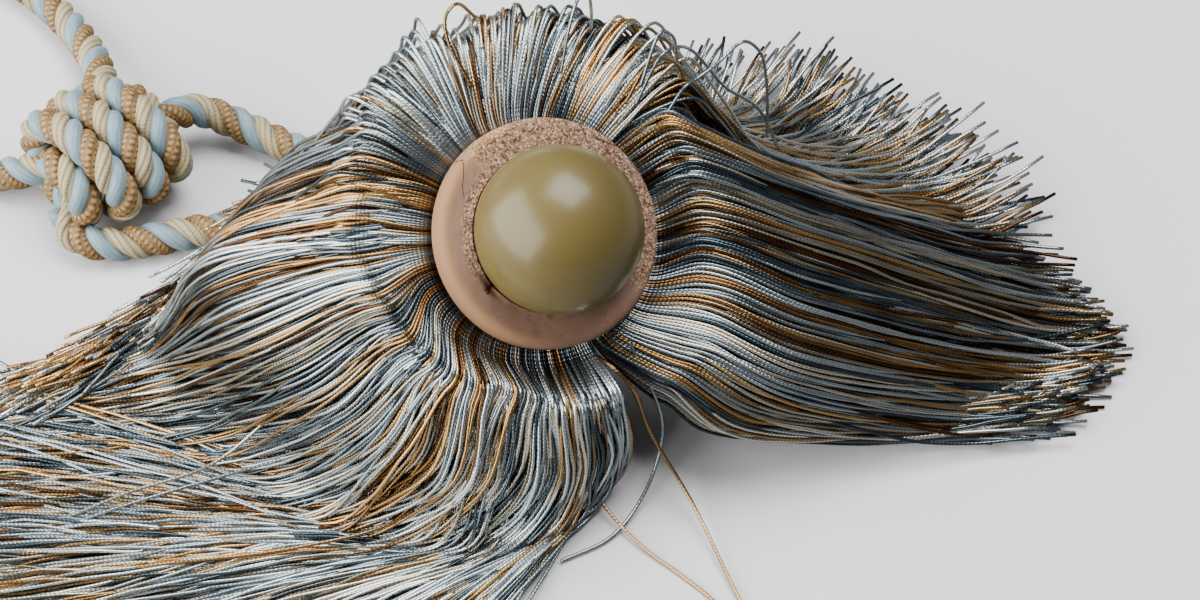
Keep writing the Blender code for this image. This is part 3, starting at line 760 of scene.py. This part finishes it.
# The wound yarns are ridges along the line from the waist to the neck's end.
outline = turned_line[:3]
walk = np.array(turned_line[3:-1])
walked = np.concatenate([[0], np.cumsum(np.linalg.norm(np.diff(walk, axis=0), axis=1))])
for at in np.arange(0, walked[-1], WIND_PITCH / 4):
    out, along = (np.interp(at, walked, walk[:, side]) for side in range(2))
    groove = WIND_GROOVE * math.cos(2 * math.pi * at / WIND_PITCH) ** 2
    outline.append((out - groove, along))
outline += [tuple(walk[-1]), turned_line[-1]]
head = spin_piece("head_wound", outline, 72)
take_to_head(head)
cut_flat(head, 0)
material, tree, shader = new_material("wound satin yarn", 0.42)
place = add_node(tree, "SeparateXYZ", Vector=head_place(tree)).outputs
bands = times(tree, place["Z"], 1 / (YARNS_A_BAND * WIND_PITCH * MM))
gold_band = maths(tree, "GREATER_THAN", maths(tree, "FRACT", bands), GOLD_FROM)
turned = maths(tree, "ARCTAN2", place["Y"], place["X"])
streak = use_group(tree, fibres_group, Along=turned, Round=place["Z"], Stretch=4.0, Count=9000)
colour = blend(tree, streak, (0.16, 0.25, 0.30), (0.42, 0.53, 0.58))
colour = blend(tree, gold_band, colour, (0.40, 0.22, 0.07))
dress(tree, shader, colour, streak, 0.5, 0.2)
head.data.materials.append(material)
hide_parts("head")


# --------------------------------------------
# The skirt's heading: a narrow woven band bound round the head behind the disc, with the roots
# of all the yarns stitched into it. It is brown-gold cord in close rows.
BAND_ROWS = 7
half_row = BAND_LENGTH / BAND_ROWS / 2
outline = [(PLUG_RADIUS + GAP, -BAND_TOP)]
for row in range(BAND_ROWS):
    middle_along = -BAND_TOP - BAND_LENGTH * (row + 0.5) / BAND_ROWS
    outline += arc(BAND_RADIUS - half_row, middle_along, half_row, 80, -80, 6)
outline.append((PLUG_RADIUS + GAP, -BAND_TOP - BAND_LENGTH))
outline.append(outline[0])
band = spin_piece("skirt_heading", outline, 160)
material, tree, shader = new_material("heading cord", 0.6)
stitches = add_node(tree, "TexVoronoi", Vector=place_on(tree), Scale=900.0)
stitches = stitches.outputs["Distance"]
colour = blend(tree, stitches, (0.30, 0.16, 0.05), (0.12, 0.07, 0.03))
dress(tree, shader, colour, stitches, 0.6, 0.3)
band.data.materials.append(material)
take_to_head(band)
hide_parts("skirt")


# --------------------------------------------
# The skirt: over two thousand two-ply rayon yarns, dyed light blue, cream and golden brown and
# mixed a few at a time. They leave the heading in layers, bend over a crest and fall to the
# table, where each sweep lies out as it fell.

# The sweeps, by the angle of a yarn's root: where it crests, hangs, lands and ends. Headings
# are in degrees, and distances out from the disc's middle, heights and lengths in millimetres.
COLUMNS = (
    "root", "crest_heading", "crest_out", "crest_height", "mid_heading", "mid_out", "mid_height",
    "land_heading", "land_out", "land_height", "tip_heading", "length",
)
RIGHT_SWEEP = (
    (304, 326, 25, 30, 333, 44, 20, 351, 68, 2, 365, 106),
    (318, 341, 29, 34, 342, 51, 28, 356, 92, 0, 370, 112),
    (332, 355, 29, 39, 352, 53, 32, 361, 102, 0, 370, 114),
    (345, 371, 31, 42, 361, 54, 35, 365, 110, 0, 366, 116),
    (360, 378, 32, 47, 369, 55, 38, 369, 116, 0, 361, 117),
    (372, 389, 34, 50, 375, 55, 41, 372, 117, 0, 356, 117),
    (384, 394, 34, 55, 380, 55, 44, 375, 116, 0, 351, 117),
    (396, 402, 36, 58, 385, 55, 47, 379, 111, 0, 348, 116),
    (408, 410, 38, 61, 390, 54, 49, 385, 107, 0, 350, 112),
)
OTHER_SWEEPS = (
    (52, 54, 46, 61, 34, 67, 26, 25, 102, 3, 24, 134),
    (68, 67, 48, 66, 49, 66, 28, 44, 98, 4, 43, 133),
    (82, 78, 46, 70, 62, 64, 35, 56, 92, 4, 55, 133),
    (96, 93, 44, 74, 83, 60, 46, 77, 78, 0, 74, 130),
    (104, 102, 41, 75, 97, 61, 50, 91, 76, 0, 88, 126),
    (117, 117, 43, 75, 115, 62, 49, 107, 77, 0, 103, 122),
    (127, 129, 43, 74, 127, 62, 48, 117, 74, 3, 112, 112),
    (135, 142, 42, 72, 137, 61, 46, 127, 71, 9, 128, 104),
    (143, 151, 42, 71, 149, 60, 48, 143, 80, 8, 225, 104),
    (152, 160, 40, 68, 159, 63, 46, 156, 82, 6, 228, 112),
    (161, 170, 40, 65, 169, 65, 47, 165, 86, 3, 218, 126),
    (171, 175, 38, 62, 173, 68, 45, 169, 87, 2, 210, 132),
    (184, 185, 39, 59, 177, 72, 41, 172, 90, 0, 207, 136),
    (199, 204, 35, 53, 195, 58, 37, 179, 86, 0, 190, 148),
    (213, 221, 33, 47, 214, 47, 30, 193, 68, 0, 176, 158),
    (226, 230, 32, 44, 227, 43, 26, 207, 57, 0, 174, 164),
    (240, 244, 29, 41, 243, 41, 24, 225, 49, 0, 178, 164),
    (258, 260, 27, 38, 257, 36, 22, 241, 44, 0, 185, 160),
    (275, 275, 27, 36, 274, 35, 21, 263, 38, 0, 204, 150),
    (290, 293, 26, 34, 293, 30, 20, 285, 31, 0, 223, 136),
    (297, 302, 26, 33, 303, 29, 20, 299, 27, 0, 231, 126),
)
SWEEPS = (RIGHT_SWEEP, OTHER_SWEEPS)
# How the yarns lie, by the angle of the root: how far they bulge past the crest, in millimetres,
# how ragged the crest is, how loosely they spread below it, and how much lighter or darker their
# tone is painted for the light and shade on their side: painted light on the fringe behind and
# on the upper left, painted shade on the lower left and over the right sweep.
LIE = (
    # root, bulge, ragged, loose, painted lightness
    (52, 1.0, 1.2, 1.0, 0.14), (70, 0.5, 1.6, 1.1, 0.14), (140, 0.5, 1.5, 0.9, 0.22),
    (165, 0.8, 1.2, 0.8, 0.04), (200, 1.5, 0.6, 0.9, 0.0), (225, 1.0, 0.6, 1.6, -0.06),
    (275, 1.0, 0.6, 1.6, 0.0), (297, 1.0, 0.6, 1.0, 0.05), (304, 1.0, 0.5, 0.6, 0.02),
    (330, 1.5, 0.5, 0.6, -0.06), (360, 1.5, 0.5, 0.6, -0.08), (395, 1.0, 0.8, 0.7, -0.06),
    (412, 1.0, 1.2, 1.0, 0.14),
)
# How often the first two dyes come, in shares, by the angle of the root; the rest is the third.
DYES = ("light blue", "cream", "golden brown")
DYE_SHARES = (
    # root, light blue, cream
    (0, 0.58, 0.17), (40, 0.58, 0.16), (55, 0.60, 0.28), (85, 0.58, 0.24), (95, 0.56, 0.16),
    (120, 0.56, 0.18), (150, 0.54, 0.18), (172, 0.40, 0.14), (192, 0.58, 0.20),
    (215, 0.54, 0.24), (235, 0.44, 0.22), (260, 0.52, 0.26), (290, 0.54, 0.28),
    (315, 0.54, 0.22), (360, 0.58, 0.17),
)
LAYERS_DEEP = 2.0
FIRST_ROOT, ROOT_PITCH, ROOT_SINK = 1.7, 2.4, 1.0
LEAVE_RADIUS, LEAVE_RISE, LEAVE_SPREAD = 26.0, 0.8, 1.0
CREST_PITCH, BODY_PITCH, LAND_PITCH, FLOOR_PITCH = 4.0, 4.0, 3.0, 2.3
PAST_CREST = 0.25
FLOOR_RUN = (30.0, 100.0)
YARN_RADIUS = 0.40
YARN_SIDES = 5
YARN_STEPS_A_SPAN = 12
BEND_PULL = 24.0
MOST_TRIANGLES = 190_000
# The outer yarns show, so they lie closer and have more rings than those that fill out below.
YARN_SETS = {
    # set: first and last depth, layers, degrees from yarn to yarn, rings
    "outer": ((0.0, 0.9), 5, 1.22, 38),
    "inner": ((1.1, 2.0), 4, 2.0, 26),
}
LAYER_PLAY, STEP_PLAY, PAST_SWEEP = 0.35, (0.7, 1.3), 1.0
# What neighbours share: yarns in a lock, and yarns of one dye in a run, at least and at most.
LOCK_YARNS, RUN_YARNS = (6, 15), (1, 3)
STRAYS = {
    # how far a whole lock strays, and each yarn by itself, in degrees or millimetres
    "crest": (1.1, 0.5), "crest_out": (1.0, 0.6), "crest_height": (0.7, 0.6),
    "mid": (1.4, 0.6), "mid_out": (0.8, 0.5), "land": (2.2, 1.2), "tip": (5.0, 3.0),
}
WILD_SHARE, WILD_RISE, WILD_OUT = 0.05, (1, 5), 0.4
# How light a yarn is from 0 to 1, and how much that differs by lock, by run and by yarn.
TONE, LOCK_TONES, RUN_TONES, YARN_TONES, DARK_SHARE = 0.48, 0.14, 0.22, 0.15, 0.14
LENGTH_SPREAD, LAYER_SHORTER = 3.0, 2.0
# Each yarn waves a little, more to its end, and its last quarter spreads.
WAVES = ((0.5, 48.0), (0.22, 20.0))
WAVE_PITCHES, WAVE_SIZES = (0.7, 1.4), (0.2, 1.8)
FLARE_FROM, FLARE_REACH = 0.75, (1.5, 1.5, 1.2)
ABOVE_TABLE = 0.05
draw = np.random.default_rng(11)


def read_table(table, places):
    """Each column of a table, read at places along its first column."""
    table = np.array(table, dtype=float)
    return [np.interp(places, table[:, 0], column) for column in table.T[1:]]


def yarn_controls(rows, roots, depths, stray):
    """Eight points that each yarn of a sweep passes; stray holds its small differences."""
    value = dict(zip(COLUMNS[1:], read_table(rows, roots)))
    middle, inward = np.array(DISC_MIDDLE), np.array(AXIS)
    angle = np.radians(roots)
    spoke = np.cos(angle)[:, None] * np.array(DISC_RIGHT)
    spoke = spoke + np.sin(angle)[:, None] * np.array(DISC_UP)
    deep = depths[:, None]

    def on_table(heading, out, height):
        turn = np.radians(heading)
        return np.stack(
            [middle[0] + out * np.cos(turn), middle[1] + out * np.sin(turn), height], -1
        )

    root_along = BAND_TOP + FIRST_ROOT + ROOT_PITCH * deep
    crest = on_table(
        value["crest_heading"] + stray["crest"], value["crest_out"] + stray["crest_out"],
        value["crest_height"] - CREST_PITCH * depths + stray["crest_height"],
    )
    mid = on_table(
        value["mid_heading"] + stray["mid"],
        value["mid_out"] - BODY_PITCH * depths + stray["mid_out"],
        value["mid_height"] - CREST_PITCH * depths,
    )
    past = crest + PAST_CREST * (mid - crest)
    past[:, 2] += stray["bulge"]
    touch = on_table(
        value["land_heading"] + stray["land"], value["land_out"] - LAND_PITCH * depths,
        value["land_height"] + FLOOR_PITCH * (LAYERS_DEEP - depths) + YARN_RADIUS,
    )
    turn = np.radians(value["tip_heading"] + stray["tip"])
    run = np.stack([np.cos(turn), np.sin(turn), np.zeros(len(turn))], -1)
    points = np.stack([
        middle - root_along * inward + (BAND_RADIUS - ROOT_SINK) * spoke,
        middle - (root_along - LEAVE_RISE) * inward + (LEAVE_RADIUS + LEAVE_SPREAD * deep) * spoke,
        crest, past, mid, touch, touch + FLOOR_RUN[0] * run, touch + FLOOR_RUN[1] * run,
    ], 1)
    return points, value["length"]


def ring_shares(routes, lengths, rings):
    """Shares of each yarn's length for its rings, which stand closer together where it bends."""
    steps = np.diff(routes, axis=1)
    long = np.linalg.norm(steps, axis=2)
    ways = steps / long[:, :, None]
    turn = np.arccos(np.clip((ways[:, 1:] * ways[:, :-1]).sum(2), -1, 1))
    turn = np.concatenate([np.zeros((len(turn), 1)), turn], axis=1)
    reached = np.minimum(sums_along(long), lengths[:, None])
    used = np.diff(reached, axis=1)
    pull = sums_along(used + BEND_PULL * turn * (used > 0))
    even = np.linspace(0, 1, rings)
    shares = np.stack([
        np.interp(even, one / one[-1], at) for one, at in zip(pull, reached)
    ])
    return shares / shares[:, -1:]


def lay_yarns(rows, depth_range, layers, step, rings):
    """The yarns of one set in one sweep: their routes, places along, dyes and tones."""
    first, last = depth_range
    roots, depths = [], []
    for layer in range(layers):
        angle = rows[0][0] - PAST_SWEEP + draw.uniform(0, step)
        while angle < rows[-1][0] + PAST_SWEEP:
            share = (layer + draw.uniform(-LAYER_PLAY, LAYER_PLAY)) / (layers - 1)
            roots.append(angle)
            depths.append(first + (last - first) * share)
            angle += step * draw.uniform(*STEP_PLAY)
    roots, depths = np.array(roots), np.clip(depths, 0, LAYERS_DEEP)
    count = len(roots)

    def in_runs(least, most):
        """Numbers the yarns in runs of neighbours."""
        sizes = draw.integers(least, most + 1, count)
        return np.repeat(np.arange(count), sizes)[:count]

    locks, runs = in_runs(*LOCK_YARNS), in_runs(*RUN_YARNS)
    bulge, ragged, loose, painted_lightness = read_table(LIE, (roots - LIE[0][0]) % 360 + LIE[0][0])

    def shared(spread, own):
        """A difference that a lock of yarns has in common, and one of each yarn's own."""
        return draw.normal(0, spread, count)[locks] + draw.normal(0, own, count)

    is_wild = draw.uniform(0, 1, count) < WILD_SHARE
    wild = np.where(is_wild, draw.uniform(*WILD_RISE, count), 0) * (ragged > 1)
    stray = {name: shared(*spreads) for name, spreads in STRAYS.items()}
    for name in stray:
        stray[name] *= ragged if name.startswith("crest") else loose
    stray["crest_out"] += WILD_OUT * wild
    stray["crest_height"] += wild
    stray["bulge"] = bulge
    chances = np.stack(read_table(DYE_SHARES, roots % 360), -1)
    first_of_run = np.searchsorted(runs, runs)
    limits = np.cumsum(chances[first_of_run], axis=1)
    pick = draw.uniform(0, 1, count)[runs]
    dyes = (pick[:, None] > limits).sum(1)
    # Besides its own random tone, each yarn's tone carries the painted light and shade of its side
    # of the skirt.
    tones = TONE + painted_lightness + draw.normal(0, LOCK_TONES, count)[locks]
    tones = tones + draw.normal(0, RUN_TONES, count)[runs]
    tones = np.clip(tones + draw.normal(0, YARN_TONES, count), 0, 1)
    tones *= draw.uniform(0, 1, count) > DARK_SHARE
    points, lengths = yarn_controls(rows, roots, depths, stray)
    lengths = lengths + draw.normal(0, LENGTH_SPREAD, count) - LAYER_SHORTER * depths
    smooth = smooth_routes(points, YARN_STEPS_A_SPAN)
    routes, along = read_along(smooth, ring_shares(smooth, lengths, rings), lengths)
    _, across, above = frames_along(routes)
    gone = along / lengths[:, None]
    for size, wave in WAVES:
        for way, scale in ((across, 1.0), (above, 0.8)):
            phase = draw.uniform(0, 2 * np.pi, (count, 1))
            pitch = wave * draw.uniform(*WAVE_PITCHES, (count, 1))
            swing = size * scale * draw.uniform(*WAVE_SIZES, (count, 1))
            amount = loose[:, None] * gone * swing
            routes += (amount * np.sin(2 * np.pi * along / pitch + phase))[:, :, None] * way
    flare = np.clip((gone - FLARE_FROM) / (1 - FLARE_FROM), 0, 1)[:, :, None] ** 2
    routes += flare * draw.normal(0, 1.0, (count, 1, 3)) * FLARE_REACH
    routes[:, :, 2] = np.maximum(routes[:, :, 2], YARN_RADIUS + ABOVE_TABLE)
    return routes, along, dyes, tones


YARN_COLOURS = {
    "light blue": ((0.055, 0.08, 0.095), (0.80, 0.90, 0.94)),
    "cream": ((0.22, 0.18, 0.11), (1.0, 0.96, 0.84)),
    "golden brown": ((0.07, 0.028, 0.008), (0.84, 0.52, 0.21)),
}
YARN_METALLIC, YARN_ROUGHNESS, RIDGE_POLISH = 0.85, 0.29, 0.08


def yarn_material(dye):
    """Satin rayon, twisted of two plies, with painted shade in the grooves between the plies and
    near the roots.
    """
    dark, light = YARN_COLOURS[dye]
    material, tree, shader = new_material(
        dye + " rayon yarn", YARN_ROUGHNESS, Metallic=YARN_METALLIC, Specular_IOR_Level=0.9
    )
    tone = add_node(tree, "Attribute")
    tone.attribute_name = "tone"
    ridge = plies(tree, 5.5, 2)
    streak = fibres(tree, 0.9, 4)
    level = maths(tree, "ADD", tone.outputs["Fac"], times(tree, streak, 0.5))
    level = maths(tree, "SUBTRACT", level, 0.25)
    colour = blend(tree, level, dark, light)
    # Painted shade: the grooves between the plies, and the first centimetres from the root where
    # the yarns go in under the disc, are mixed toward a darker copy of the dye.
    shade = times(tree, maths(tree, "SUBTRACT", 1.0, ridge), 0.35)
    painted_root_shade = ramp(tree, uv_sockets(tree)[0], 0.7, 2.0, 0.6, 0.0)
    shade = maths(tree, "MAXIMUM", shade, painted_root_shade)
    colour = blend(tree, shade, colour, tuple(0.3 * value for value in dark))
    rough = maths(tree, "SUBTRACT", YARN_ROUGHNESS, times(tree, ridge, RIDGE_POLISH))
    dress(tree, shader, colour, ridge, 0.2, 0.15)
    tree.links.new(rough, shader.inputs["Roughness"])
    return material


YARN_MATERIALS = {dye: yarn_material(dye) for dye in DYES}


def add_yarns(name, dye, routes, along, tones):
    """One mesh of yarns of one dye, as part of the skirt."""
    piece = tubes_mesh(name, routes, along, YARN_RADIUS, YARN_SIDES, tones=tones)
    piece.data.materials.append(YARN_MATERIALS[dye])
    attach(piece, "root")
    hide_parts("skirt")


for label, (depth_range, layers, step, rings) in YARN_SETS.items():
    laid = [lay_yarns(rows, depth_range, layers, step, rings) for rows in SWEEPS]
    routes, along, dyes, tones = (np.concatenate(part) for part in zip(*laid))
    triangles_each = YARN_SIDES * 2 * (rings - 1) + 2
    for number, dye in enumerate(DYES):
        chosen = np.flatnonzero(dyes == number)
        pieces = math.ceil(len(chosen) * triangles_each / MOST_TRIANGLES)
        for part, members in enumerate(np.array_split(chosen, pieces)):
            name = f"yarns_{label}_{dye.replace(' ', '_')}_{part + 1}"
            add_yarns(name, dye, routes[members], along[members], tones[members])


# --------------------------------------------
# Single yarns that have slipped out of their places: loops that stand off the crest, and ends
# that cross the others or lie by themselves on the table.
LOOSE_RINGS, LOOSE_STEPS_A_SPAN, LOOSE_TONE = 90, 16, 0.55
LOOSE_YARNS = (
    ("golden brown", (
        (17, -27, 33), (22, -32.5, 35), (26.5, -35.4, 31), (30.4, -36, 17), (38.9, -44.5, 5),
        (48.5, -66.5, 0.8), (54, -79, 0.5),
    )),
    ("golden brown", (
        (14, -34, 10), (20.2, -43.2, 3), (28.4, -53.1, 0.9), (36.5, -60.1, 0.5),
        (42.8, -66.2, 0.5), (48, -74, 0.5),
    )),
    ("light blue", (
        (26, -27, 36), (33, -32.5, 16), (32, -36.6, 7), (28.5, -43.2, 2.5), (22.2, -51.3, 1),
        (12, -57, 0.8),
    )),
    ("light blue", (
        (12, 10, 76), (14, 15, 86), (15.4, 18, 89), (17.2, 22, 87), (18.2, 25, 77),
        (17.8, 28, 64), (17, 31, 50),
    )),
    ("golden brown", (
        (-6, 10, 72), (-10.8, 16, 79.5), (-11.2, 19, 83), (-9.2, 22, 83.5), (-6.5, 25, 78),
        (-3, 28, 68),
    )),
    ("light blue", (
        (27, 10, 66), (32.3, 16, 74.7), (35.2, 19, 74), (38.3, 22, 70.5), (42.2, 25, 62.4),
        (46.7, 28, 52.5), (54, 32, 42), (60, 36, 24),
    )),
    ("light blue", (
        (33, 12, 60), (37.4, 16, 65.4), (40.1, 19, 64.8), (44.2, 22, 66), (49.3, 25, 69.3),
        (53.3, 28, 63.5), (55.7, 31, 50), (57, 34, 30),
    )),
    ("light blue", (
        (28, 10, 72), (31.9, 16, 81.4), (34.5, 19, 77.5), (35.7, 22, 68.3), (36, 25, 56),
        (37, 27, 42),
    )),
    ("golden brown", (
        (25, 9, 68), (30.1, 15, 74), (34.8, 19, 70), (37.4, 22, 61.4), (38, 25, 51), (39, 28, 36),
    )),
    ("light blue", (
        (-24, -32, 20), (-31.7, -35, 15), (-44, -37, 10), (-57, -39.5, 7), (-79.6, -46.9, 5.5),
        (-100, -55, 4),
    )),
    ("cream", ((-30, -20, 33), (-44, -29, 20), (-60, -38, 9), (-78, -44, 6.5), (-97, -52, 4))),
    ("golden brown", (
        (-8, -44, 16), (-22, -52, 8), (-40, -57, 6.5), (-60, -60, 6), (-82, -60, 4),
    )),
)
for number, (dye, points) in enumerate(LOOSE_YARNS):
    smooth = smooth_routes([points], LOOSE_STEPS_A_SPAN)
    routes, along = read_along(smooth, np.linspace(0, 1, LOOSE_RINGS))
    add_yarns(f"loose_yarn_{number + 1}", dye, routes, along, np.array([LOOSE_TONE]))
